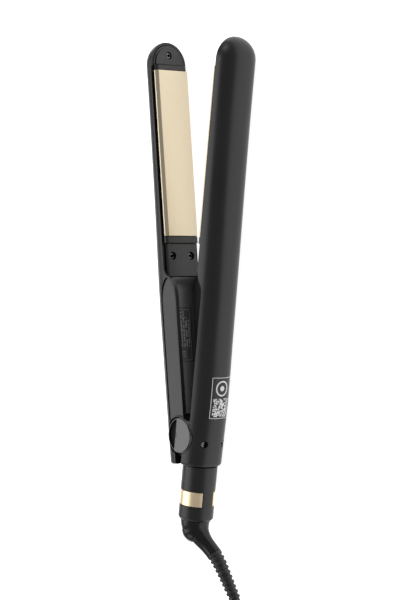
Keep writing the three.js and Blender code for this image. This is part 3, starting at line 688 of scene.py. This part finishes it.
panel = {"arcGap": 0.9, "front": -5.1, "rear": 8.3, "tip": (2, 103.6), "arcSteps": 20, "pocketFloor": 13}


# Pointed panel on the moving arm's side, ending in an arc round the hinge.
def petal(grow, low, high):
    arc = armShape["hingeClearance"] + panel["arcGap"] - grow
    front, rear = panel["front"] - grow, panel["rear"] + grow
    frontY, rearY = math.sqrt(arc ** 2 - front ** 2), math.sqrt(arc ** 2 - rear ** 2)
    tip = (panel["tip"][0], panel["tip"][1] + grow)
    points = [(front, frontY)]
    points += bezier((front + 0.7, 89), (front + 0.8, 96.5), (-1.5 - grow, 101.4), tip)
    points += bezier(tip, (5.4 + grow, 102.4), (rear + 0.6, 97), (rear + 0.6, 88))[1:]
    points.append((rear, rearY))
    begin, end = math.atan2(rearY, rear), math.atan2(frontY, front)
    turns = [begin + (end - begin) * k / panel["arcSteps"] for k in range(1, panel["arcSteps"])]
    points += [(arc * math.cos(turn), arc * math.sin(turn)) for turn in turns]
    return prism(points, "z", low, high)


def armShell(arm):
    half, wall, end = armShape["halfWidth"], armShape["wall"], armShape["armEnd"]
    cavity, far, cover = arms[arm]["cavityHalfWidth"], armShape["far"], armShape["coverStart"]
    deep, broad, floor, outside = (-far, far), (-far, far), end + 3, half + 1
    tools = [openSide(arm)]
    if arm == "fixed":
        tools.append(armBody(arm, floor, cavity, wall))
        tools.append(rod(neck["spigotRadius"] + 0.4, end - 1, end + 5, "y", 64, (neck["x"], 0, 0)))
    else:
        upper = carved(armBody(arm, floor, half - wall, wall), block(deep, (cover, 300), broad),
                       operation="INTERSECT")
        lower = carved(armBody(arm, floor, cavity, wall), block(deep, (-far, cover + 1), broad),
                       operation="INTERSECT")
        tools += [upper, lower]
        pocket = petal(armShape["gap"], panel["pocketFloor"], outside)
        tools += [mirroredZ(pocket), pocket]
        tools.append(block((-far, armShape["endNotch"]), (end - 1, end + 5), (-cavity, cavity)))
    cheek = rod(armShape["hingeClearance"], armShape["cheekFloor"], outside, "z", 72)
    tools += [mirroredZ(cheek), cheek]
    shell = carved(armBody(arm, end, half, 0), *tools)
    if arm == "fixed":
        shell = backScrewHoles(shell)
    return shell


backScrew = {
    "y": -3, "z": 7.5, "seat": 15.9, "foot": 14.8, "top": 17.4, "bossRadius": 3.3, "headHole": 2.3,
    "shankHole": 1.4,
}


# Bosses inside the back for the two screws that hold the hinge block.
def backScrewHoles(shell):
    inside = armBody("fixed", armShape["armEnd"], armShape["halfWidth"], 0.2)
    shank, head, seat = backScrew["shankHole"], backScrew["headHole"], backScrew["seat"]
    bosses, bores = [], []
    for side in (-1, 1):
        centre = (0, backScrew["y"], side * backScrew["z"])
        boss = rod(backScrew["bossRadius"], backScrew["foot"], backScrew["top"], "x", 32, centre)
        bosses.append(carved(boss, inside.copy(), operation="INTERSECT"))
        bore = [(0, 10), (shank, 10), (shank, seat), (head, seat), (head, 25), (0, 25)]
        bores.append(turned(bore, "x", 32, centre))
    inside.free()
    return carved(carved(shell, *bosses, operation="UNION"), *bores)


for arm, setup in arms.items():
    shell = armShell(arm)
    bmesh.ops.remove_doubles(shell, verts=shell.verts, dist=0.05)
    bmesh.ops.dissolve_limit(shell, angle_limit=math.radians(0.05), verts=shell.verts, edges=shell.edges)
    # faces of the inner walls take the paler liner black, painted light where the hollow catches light
    for face in shell.faces:
        middle = face.calc_center_median()
        paintedLightWall = abs(middle.z) < setup["cavityHalfWidth"] + 0.05 and middle.z * face.normal.z < -2
        face.material_index = int(paintedLightWall)
    piece = finished(f"{arm}Shell", shell, setup["finish"], [f"{arm}_shell"], arm, f"{arm}_arm", 34)
    piece.data.materials.append(finishes["linerBlackPaintedLight"].material)
    rims = piece.modifiers.new("softRims", "BEVEL")
    rims.limit_method = "ANGLE"
    rims.angle_limit = math.radians(50)
    rims.width = armShape["edge"] * mm
    rims.segments = 2
    piece.modifiers.move(1, 0)     # before the weighted normals
    print(arm, "shell")

# Pieces that keep their solid and get softened edges: (finish, width of the softened edge)

softEdges = {
    "heating_plate": ("plate", 0.22), "plate_carrier": ("matBlack", 0.25),
    "inner_cover": ("panelBlack", 0.25), "tip_cap": ("panelBlack", 0.22),
    # the liners take the paler black, painted light
    "handle_liner": ("linerBlackPaintedLight", 0.2), "hinge_block": ("matBlack", 0.3),
}
cheekEdge, buttonEdge, labelEdge = 0.12, 0.3, 0.05


def softCopy(node, width, finish, arm, body, segments=2):
    return finished(f"{node}_fine", softened(fromNode(node, arm), width, segments), finish, [node], arm, body)


for arm in arms:
    for piece, (finish, width) in softEdges.items():
        look = f"plate{arm.title()}" if finish == "plate" else finish
        body = f"{arm}_plate" if piece == "heating_plate" else f"{arm}_arm"
        softCopy(f"{arm}_{piece}", width, look, arm, body)
for end in ("upper", "lower"):
    softCopy(f"cheek_panel_{end}", cheekEdge, "panelBlack", "moving", "moving_arm")
softCopy("power_button", buttonEdge, "glossBlack", "fixed", "button", 3)
softCopy("rating_label", labelEdge, "label", "moving", "moving_arm", 1)
print("covers, plates and liners")

# Hinge caps, screws, pin and lamp

hingeCap = {
    "radius": 11.7, "foot": 11.8, "disc": 14, "sunk": 12.6, "lip": 0.8, "chord": -3.3, "rim": 0.5,
    "soft": 0.35, "sides": 96,
}


# A disc with a raised pad cut off by a chord, and a sunk floor on the chord's other side.
def capShape():
    radius, soft, foot, high = hingeCap["radius"], hingeCap["soft"], hingeCap["foot"], hingeCap["disc"]
    chord, sides, top = hingeCap["chord"], hingeCap["sides"], armShape["halfWidth"]
    disc = turned([
        (0, foot), (radius, foot), (radius, high - soft), (radius - soft * 0.3, high - soft * 0.3),
        (radius - soft, high), (0, high),
    ], "z", sides)
    pad = rod(radius - hingeCap["rim"], high - 0.5, top, "z", sides)
    cut = bmesh.ops.bisect_plane(pad, geom=pad.verts[:] + pad.edges[:] + pad.faces[:],
                                 plane_co=(chord, 0, 0), plane_no=(-1, 0, 0), clear_outer=True)["geom_cut"]
    bmesh.ops.contextual_create(pad, geom=[item for item in cut if isinstance(item, bmesh.types.BMEdge)])
    crown = [edge for edge in pad.edges
             if edge.calc_face_angle(0) > 0.6 and min(vert.co.z for vert in edge.verts) > top - 0.01]
    bmesh.ops.bevel(pad, geom=crown, offset=soft, affect="EDGES", segments=3, profile=0.5, material=-1)
    pocket = rod(radius - hingeCap["lip"], hingeCap["sunk"], top + 1, "z", sides)
    padSide = block((chord, 20), (-20, 20), (0, 20))
    cap = carved(carved(disc, pad, operation="UNION"), carved(pocket, padSide))
    # the sunk floor beside the pad takes the dull, darkest black: painted shade in the pocket
    for face in cap.faces:
        middle = face.calc_center_median()
        if middle.x < chord and middle.z < high - 0.5 and abs(face.normal.z) > 0.9:
            face.material_index = int(middle.z > foot + 0.1)
    return cap


for end in ("upper", "lower"):
    cap = capShape() if end == "upper" else mirroredZ(capShape())
    node = f"hinge_cap_{end}"
    piece = finished(f"{node}_fine", cap, "capBlack", [node], "fixed", "fixed_arm")
    piece.data.materials.append(finishes["recessBlackPaintedShade"].material)

# Pan-head screws with a cross recess: each head rests on its seat, and head and shank are radii

screws = {
    "cover": {"seat": 4.8, "y": 118, "z": 7.8, "head": 2.3, "height": 1.4, "shank": 1.1, "length": 3.8},
    "tip": {"seat": 5, "y": 251.5, "z": 0, "head": 2.2, "height": 1.4, "shank": 1.1, "length": 3.8},
    "back": {"seat": 16.2, "y": -3, "z": 7.5, "head": 2, "height": 1.3, "shank": 1.05, "length": 3.2},
}


def screwShape(kind, side):
    size = screws[kind]
    head, height, shank, length = (size[key] for key in ("head", "height", "shank", "length"))
    facing = -1 if kind == "back" else 1
    centre = (size["seat"], size["y"], side * size["z"])
    body = turned([(radius, facing * place) for radius, place in [
        (0, -height), (head * 0.55, -height), (head * 0.82, -height * 0.88), (head * 0.97, -height * 0.6),
        (head, -height * 0.4), (head, 0), (shank, 0), (shank, length), (0, length + shank),
    ]], "x", 40, centre)
    reach, slot = head * 0.56, head * 0.19
    deep = sorted((centre[0] + facing * (-height - 1), centre[0] + facing * (-height * 0.4)))
    y, z = centre[1:]
    screw = carved(body, block(deep, (y - reach, y + reach), (z - slot, z + slot)),
                   block(deep, (y - slot, y + slot), (z - reach, z + reach)))
    # faces inside the cross recess take the dull, darkest black: painted shade in the recess
    for face in screw.faces:
        middle = face.calc_center_median()
        paintedShadeRecess = math.hypot(middle.y - y, middle.z - z) < head * 0.59
        face.material_index = int(paintedShadeRecess and deep[0] + 0.01 < middle.x < deep[1] + 0.01)
    return screw


def finishedScrew(node, kind, side, arm):
    screw = finished(f"{node}_fine", screwShape(kind, side), "blackSteel", [node], arm, f"{arm}_arm")
    screw.data.materials.append(finishes["recessBlackPaintedShade"].material)


for arm in arms:
    for end, side in (("upper", 1), ("lower", -1)):
        node = f"{arm}_cover_screw_{end}"
        finishedScrew(node, "cover", side, arm)
    finishedScrew(f"{arm}_tip_screw", "tip", 1, arm)
for end, side in (("upper", 1), ("lower", -1)):
    finishedScrew(f"back_screw_{end}", "back", side, "fixed")

pinEnd = 11.5
finished("hinge_pin_fine", turned([
    (0, -pinEnd), (2.1, -pinEnd), (2.5, 0.4 - pinEnd), (2.5, pinEnd - 0.4), (2.1, pinEnd), (0, pinEnd),
], "z", 48), "steel", ["hinge_pin"], "fixed", "fixed_arm")
lens = {
    "y": 46, "profile": [
        (0, 9.9), (0.7, 9.93), (1.2, 10.05), (1.5, 10.3), (1.6, 10.6), (1.6, 12.3), (2.4, 12.4), (2.4, 13.2),
        (0, 13.2),
    ],
}
finished("lamp_lens_fine", turned(lens["profile"], "x", 40, (0, lens["y"], 0)), "lamp", ["lamp_lens"],
         "fixed", "fixed_arm")
print("hinge, screws and lamp")

# Neck sleeve with its two gold windows


def pillars(width):
    shapes = []
    for side in (-1, 1):
        reach = sorted((side * (neck["radius"] - 3), side * (neck["radius"] + 3)))
        depth = [neck["x"] + place for place in reach]
        shapes.append(block(depth, (neck["bandEnd"] - 1, neck["bandStart"] + 1), (-width / 2, width / 2)))
    return shapes


def sleeveShape():
    radius, spigot, end, shoulder = neck["radius"], neck["spigotRadius"], neck["end"], neck["shoulder"]
    socket, bore, centre = neck["socket"], neck["bore"], (neck["x"], 0, 0)
    sleeve = turned([
        (0, neck["top"]), (spigot, neck["top"]), (spigot, shoulder + 0.2), (radius - 0.3, shoulder),
        (radius, shoulder - 0.3), (radius, end + 1.6), (radius - 0.12, end + 1.25), (radius - 1, end + 0.12),
        (radius - 1.2, end), (socket, end), (socket, neck["socketTop"]), (bore, neck["socketTop"]),
        (bore, neck["boreTop"]), (0, neck["boreTop"]),
    ], "y", 128, centre)
    inner, start, finish = radius - neck["bandDepth"], neck["bandStart"], neck["bandEnd"]
    outer = radius + 2
    groove = turned([(inner, finish), (outer, finish), (outer, start), (inner, start), (inner, finish)],
                    "y", 128, centre)
    return carved(sleeve, carved(groove, *pillars(neck["pillarWidth"])))


def bandShape(end):
    gap, radius = armShape["gap"], neck["radius"]
    inner, outer = radius - neck["bandDepth"] + gap, radius - 0.1
    low, high = neck["bandEnd"] + gap, neck["bandStart"] - gap
    edge = 0.15
    hoop = turned([
        (inner, low), (outer - edge, low), (outer, low + edge), (outer, high - edge), (outer - edge, high),
        (inner, high), (inner, low),
    ], "y", 128, (neck["x"], 0, 0))
    side = (0, 20) if end == "upper" else (-20, 0)
    window = carved(hoop, *pillars(neck["pillarWidth"] + 2 * gap))
    return carved(window, block((-20, 40), (-80, 0), side), operation="INTERSECT")


finished("neck_sleeve_fine", sleeveShape(), "satinBlack", ["neck_sleeve"], "fixed", "fixed_arm", 30)
for end in ("upper", "lower"):
    node = f"neck_band_{end}"
    finished(f"{node}_fine", bandShape(end), "gold", [node], "fixed", "fixed_arm")
print("neck")

# Swivel elbow and ribbed strain relief: [sideways, y] of their middle line, which leans a little down

swivel = {
    "tilt": -15, "elbowLength": 27, "ribs": 9, "ribDepth": 0.8, "ribEdge": 0.08, "reliefStart": 5.1,
    "reliefEnd": 3.9, "cuff": 1.6, "heelAt": (0.6, -62), "heelRadius": 8.9, "heelSteps": 32, "lead": 4,
    "bore": 5.1, "boreEnd": -62.4,
    "route": [
        (0, -55.4), (0.5, -58.6), (2.6, -62.6), (6.8, -67.2), (12.2, -71.4), (17, -75.2),
        (21.3, -79.8), (25, -84.8), (28.7, -90.2), (32.3, -95.6), (36, -101),
    ],
    "radius": curveThrough([
        (0, 9.9), (3, 9.5), (6, 8.8), (9, 7.6), (12, 6.6), (16, 5.8), (20, 5.3), (27, 5.1),
    ]),
}


def swivelPoint(out, y):
    tilt = math.radians(swivel["tilt"])
    return Vector((neck["x"] + out * math.cos(tilt), y, out * math.sin(tilt)))


swivelRoute = smoothRoute([swivelPoint(*point) for point in swivel["route"]], 0.35)
covered = [0.0]
for first, second in zip(swivelRoute, swivelRoute[1:]):
    covered.append(covered[-1] + (second - first).length)
swivelLength = covered[-1]


# A narrowing bent tube with a round heel outside the bend. The lead keeps its top square to the neck.
def elbowShape():
    lead = swivel["lead"]
    route = [swivelRoute[0] + Vector((0, lead, 0)), swivelRoute[0] + Vector((0, lead / 2, 0))]
    route += [point for point, place in zip(swivelRoute, covered) if place <= swivel["elbowLength"]]
    body = swept(route, lambda distance: swivel["radius"](distance - lead), 64)
    radius, steps = swivel["heelRadius"], swivel["heelSteps"]
    turns = [math.pi * (k / steps - 0.5) for k in range(steps + 1)]
    heel = turned([(radius * math.cos(turn), radius * math.sin(turn)) for turn in turns], "y", 64,
                  swivelPoint(*swivel["heelAt"]))
    body = carved(body, heel, operation="UNION")
    bore = rod(swivel["bore"], swivel["boreEnd"], -50, "y", 48, (neck["x"], 0, 0))
    above = block((-20, 40), (neck["end"] - armShape["gap"], 0), (-20, 20))
    return softened(carved(body, bore, above), 0.3, 3, 62)


def reliefShape():
    start = swivel["elbowLength"] + armShape["gap"]
    length = swivelLength - start
    pitch = (length - swivel["cuff"]) / swivel["ribs"]

    def radiusAt(distance):
        taper = swivel["reliefStart"] - (swivel["reliefStart"] - swivel["reliefEnd"]) * distance / length
        phase = distance / pitch % 1
        if distance > length - swivel["cuff"]:
            return taper
        edge = swivel["ribEdge"]
        sunk = min(1, max(0, (phase - 0.5) / edge)) * min(1, max(0, (1 - phase) / edge))
        return taper - swivel["ribDepth"] * sunk

    route = [point for point, place in zip(swivelRoute, covered) if place >= start]
    return swept(route, radiusAt, 40)


finished("swivel_elbow_fine", elbowShape(), "glossBlack", ["swivel_elbow"], "fixed", "swivel", 50)
finished("strain_relief_fine", reliefShape(), "cordBlack", ["strain_relief"], "fixed", "swivel")
print("swivel")

# Cord: out of the relief, into a wound coil of two layers, and out to the plug

cord = {
    "diameter": 6, "lead": [(42, -101.5, -9.5), (44.9, -106.5, -10.3), (48.6, -114.5, -11)],
    "tailLead": (-12, -8.6), "tailSink": [(-3.2, -10.2), (-9, -8.7)], "bottom": -11.2, "top": -5.2,
    "spacing": 1.6, "sides": 20,
}
coil = {
    "x": 17.5, "y": -165.5, "innerTurn": 24, "outerTurn": 47.4, "entry": 20, "turns": 8.3056, "climb": 0.3,
    "stepsPerTurn": 72,
}
plug = {
    "start": -34, "length": 26, "halfHeight": 6.5, "edge": 0.5, "pinLength": 19, "pinSpacing": 19,
    "pinRadius": 2,
}
coilOuter = coil["outerTurn"] + cord["diameter"] / 2
coilInner = coil["innerTurn"] - cord["diameter"] / 2
besideCoil = math.sqrt((coilOuter + cord["diameter"] / 2 + armShape["gap"]) ** 2 - coil["outerTurn"] ** 2)


def coilTurns():
    points = []
    count = round(coil["turns"] * coil["stepsPerTurn"])
    layer = (coil["turns"] - coil["climb"]) / 2
    reach = coil["outerTurn"] - coil["innerTurn"]
    for k in range(count + 1):
        turns = coil["turns"] * k / count
        paintedShadeRecess = min(1, turns / layer)
        outward = min(1, max(0, (turns - layer - coil["climb"]) / layer))
        radius = coil["outerTurn"] - reach * paintedShadeRecess + reach * outward
        rise = min(1, max(0, (turns - layer) / coil["climb"]))
        rise = rise * rise * (3 - 2 * rise)
        angle = math.radians(coil["entry"] - 360 * turns)
        height = cord["bottom"] + (cord["top"] - cord["bottom"]) * rise
        across, along = coil["x"] + radius * math.cos(angle), coil["y"] + radius * math.sin(angle)
        points.append(Vector((across, along, height)))
    return points


def cordRoute():
    entry = math.radians(coil["entry"])
    outer = coil["outerTurn"]
    meets = (coil["x"] + outer * math.cos(entry) - besideCoil * math.sin(entry),
             coil["y"] + outer * math.sin(entry) + besideCoil * math.cos(entry), cord["bottom"])
    turns = coilTurns()
    lead = smoothRoute([swivelRoute[-1], *cord["lead"], meets, turns[0]], cord["spacing"])
    leave = coil["x"] - besideCoil
    low = coil["y"] - outer
    leadOut, leadHeight = cord["tailLead"]
    tail = smoothRoute([
        turns[-1], (coil["x"] + leadOut, low, leadHeight), (leave, low, cord["bottom"]),
        *((leave + out, low, height) for out, height in cord["tailSink"]),
    ], cord["spacing"])
    return lead[:-1] + turns + tail[1:]


cordLine = cordRoute()
cordLength = sum((b - a).length for a, b in zip(cordLine, cordLine[1:])) * mm
print("cord length", round(cordLength, 3))
cordTube = swept(cordLine, lambda distance: cord["diameter"] / 2, cord["sides"])
cordPiece = finished("power_cord", cordTube, "cordBlack", ["cord_lead", "cord_coil", "cord_tail"])

# Hook-and-loop strap round the coil, with its loose end pressed on top

tie = {
    "thick": 0.5, "inside": 1.8, "outside": 1.2, "above": 0.8, "half": 6, "turn": 115,
    "corner": 3, "innerCorner": 2.5, "flapStart": 4, "flapEnd": 24, "flapHeight": 0.45,
}


def tieShape():
    low, top = -armShape["halfWidth"], cord["top"] + cord["diameter"] / 2 + tie["above"]
    inner, outer = coilInner - tie["inside"], coilOuter + tie["outside"]
    thick, half = tie["thick"], tie["half"]
    outside = prism([(inner, low), (outer, low), (outer, top), (inner, top)], "y", -half, half)
    inside = prism([(inner + thick, low + thick), (outer - thick, low + thick), (outer - thick, top - thick),
                    (inner + thick, top - thick)], "y", -half - 1, half + 1)
    softened(outside, tie["corner"], 6, 60)
    softened(inside, tie["innerCorner"], 6, 60)
    flap = block((inner + tie["flapStart"], inner + tie["flapEnd"]), (-half, half),
                 (top - 0.3, top + tie["flapHeight"]))
    strap = carved(carved(outside, inside), softened(flap, 0.15, 2, 60), operation="UNION")
    turn = Matrix.Rotation(math.radians(tie["turn"]), 3, "Z")
    bmesh.ops.rotate(strap, cent=(0, 0, 0), matrix=turn, verts=strap.verts)
    bmesh.ops.translate(strap, vec=(coil["x"], coil["y"], 0), verts=strap.verts)
    return strap


tiePiece = finished("cord_tie_fine", tieShape(), "strap", ["cord_tie"], "fixed", "fixed_arm")
plugPieces = [softCopy("plug_body", plug["edge"], "cordBlack", "fixed", "fixed_arm", 3)]
pinRadius, pinY = plug["pinRadius"], coil["y"] - coil["outerTurn"]
pinZ = plug["halfHeight"] - armShape["halfWidth"]
front = plug["start"] - plug["length"] - armShape["gap"]
tip = front - plug["pinLength"]
pinProfile = [
    (0, front), (pinRadius, front), (pinRadius, tip + 1.6), (1.85, tip + 0.9), (1.3, tip + 0.2), (0.9, tip),
    (0, tip),
]
for end, side in (("upper", -1), ("lower", 1)):
    pin = turned(pinProfile, "x", 40, (0, pinY + side * plug["pinSpacing"] / 2, pinZ))
    node = f"plug_pin_{end}"
    plugPieces.append(finished(f"{node}_fine", pin, "steel", [node], "fixed", "fixed_arm"))

exitPoint = placeOf("fixed") @ swivelRoute[-1]
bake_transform(cordPiece)
[placeOf("fixed") @ point for point in cordLine]
print("cord and plug")

# Silicone cushions under the plates

cushionSetup = {"travel": 1, "soft": 0.2}
for arm in arms:
    node = f"{arm}_plate_cushion"
    cushion = softened(fromNode(node, arm), cushionSetup["soft"])
    depths = [vert.co.x for vert in cushion.verts]
    front, rear = min(depths), max(depths)
    piece = finished(f"{node}_fine", cushion, "silicone", [node], arm, f"{arm}_arm")
    local = placeOf(arm)
    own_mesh(piece)
print("cushions")

# Hidden pieces keep their solids and take their finishes

hiddenLooks = {
    "heater": "ceramic", "heater_clamp": "steel", "temperature_sensor": "steel",
}
inside = {f"{arm}_{piece}": look for arm in arms for piece, look in hiddenLooks.items()}
inside |= {
    "hinge_washer_upper": "steel", "hinge_washer_lower": "steel", "hinge_spring": "steel",
    "control_board": "board", "swivel_retainer": "steel", "swivel_spigot": "matBlack",
}
for node, look in inside.items():
    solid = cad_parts[node]
    solid.data.materials.clear()
    solid.data.materials.append(finishes[look].material)
print("hidden pieces:", len(inside))

# Floor

floorFinish = Finish("floor", Specular_IOR_Level=0.2, Emission_Color=(1, 1, 1, 1), Emission_Strength=0.9)
floorNoise = floorFinish.noise(floorFinish.place(), 14, 3)
floorTone = floorFinish.mixed(floorNoise, grey(0.86), grey(0.9))
floorFinish.surface(Base_Color=floorTone, Roughness=floorNoise * 0.1 + 0.6)
floorShape = emptyShape()
bmesh.ops.create_grid(floorShape, x_segments=floorSetup["squares"], y_segments=floorSetup["squares"],
                      size=floorSetup["size"])
floorMesh = bpy.data.meshes.new("floor")
floorShape.to_mesh(floorMesh)
floorShape.free()
floorMesh.materials.append(floorFinish.material)
linked("floor", floorMesh)
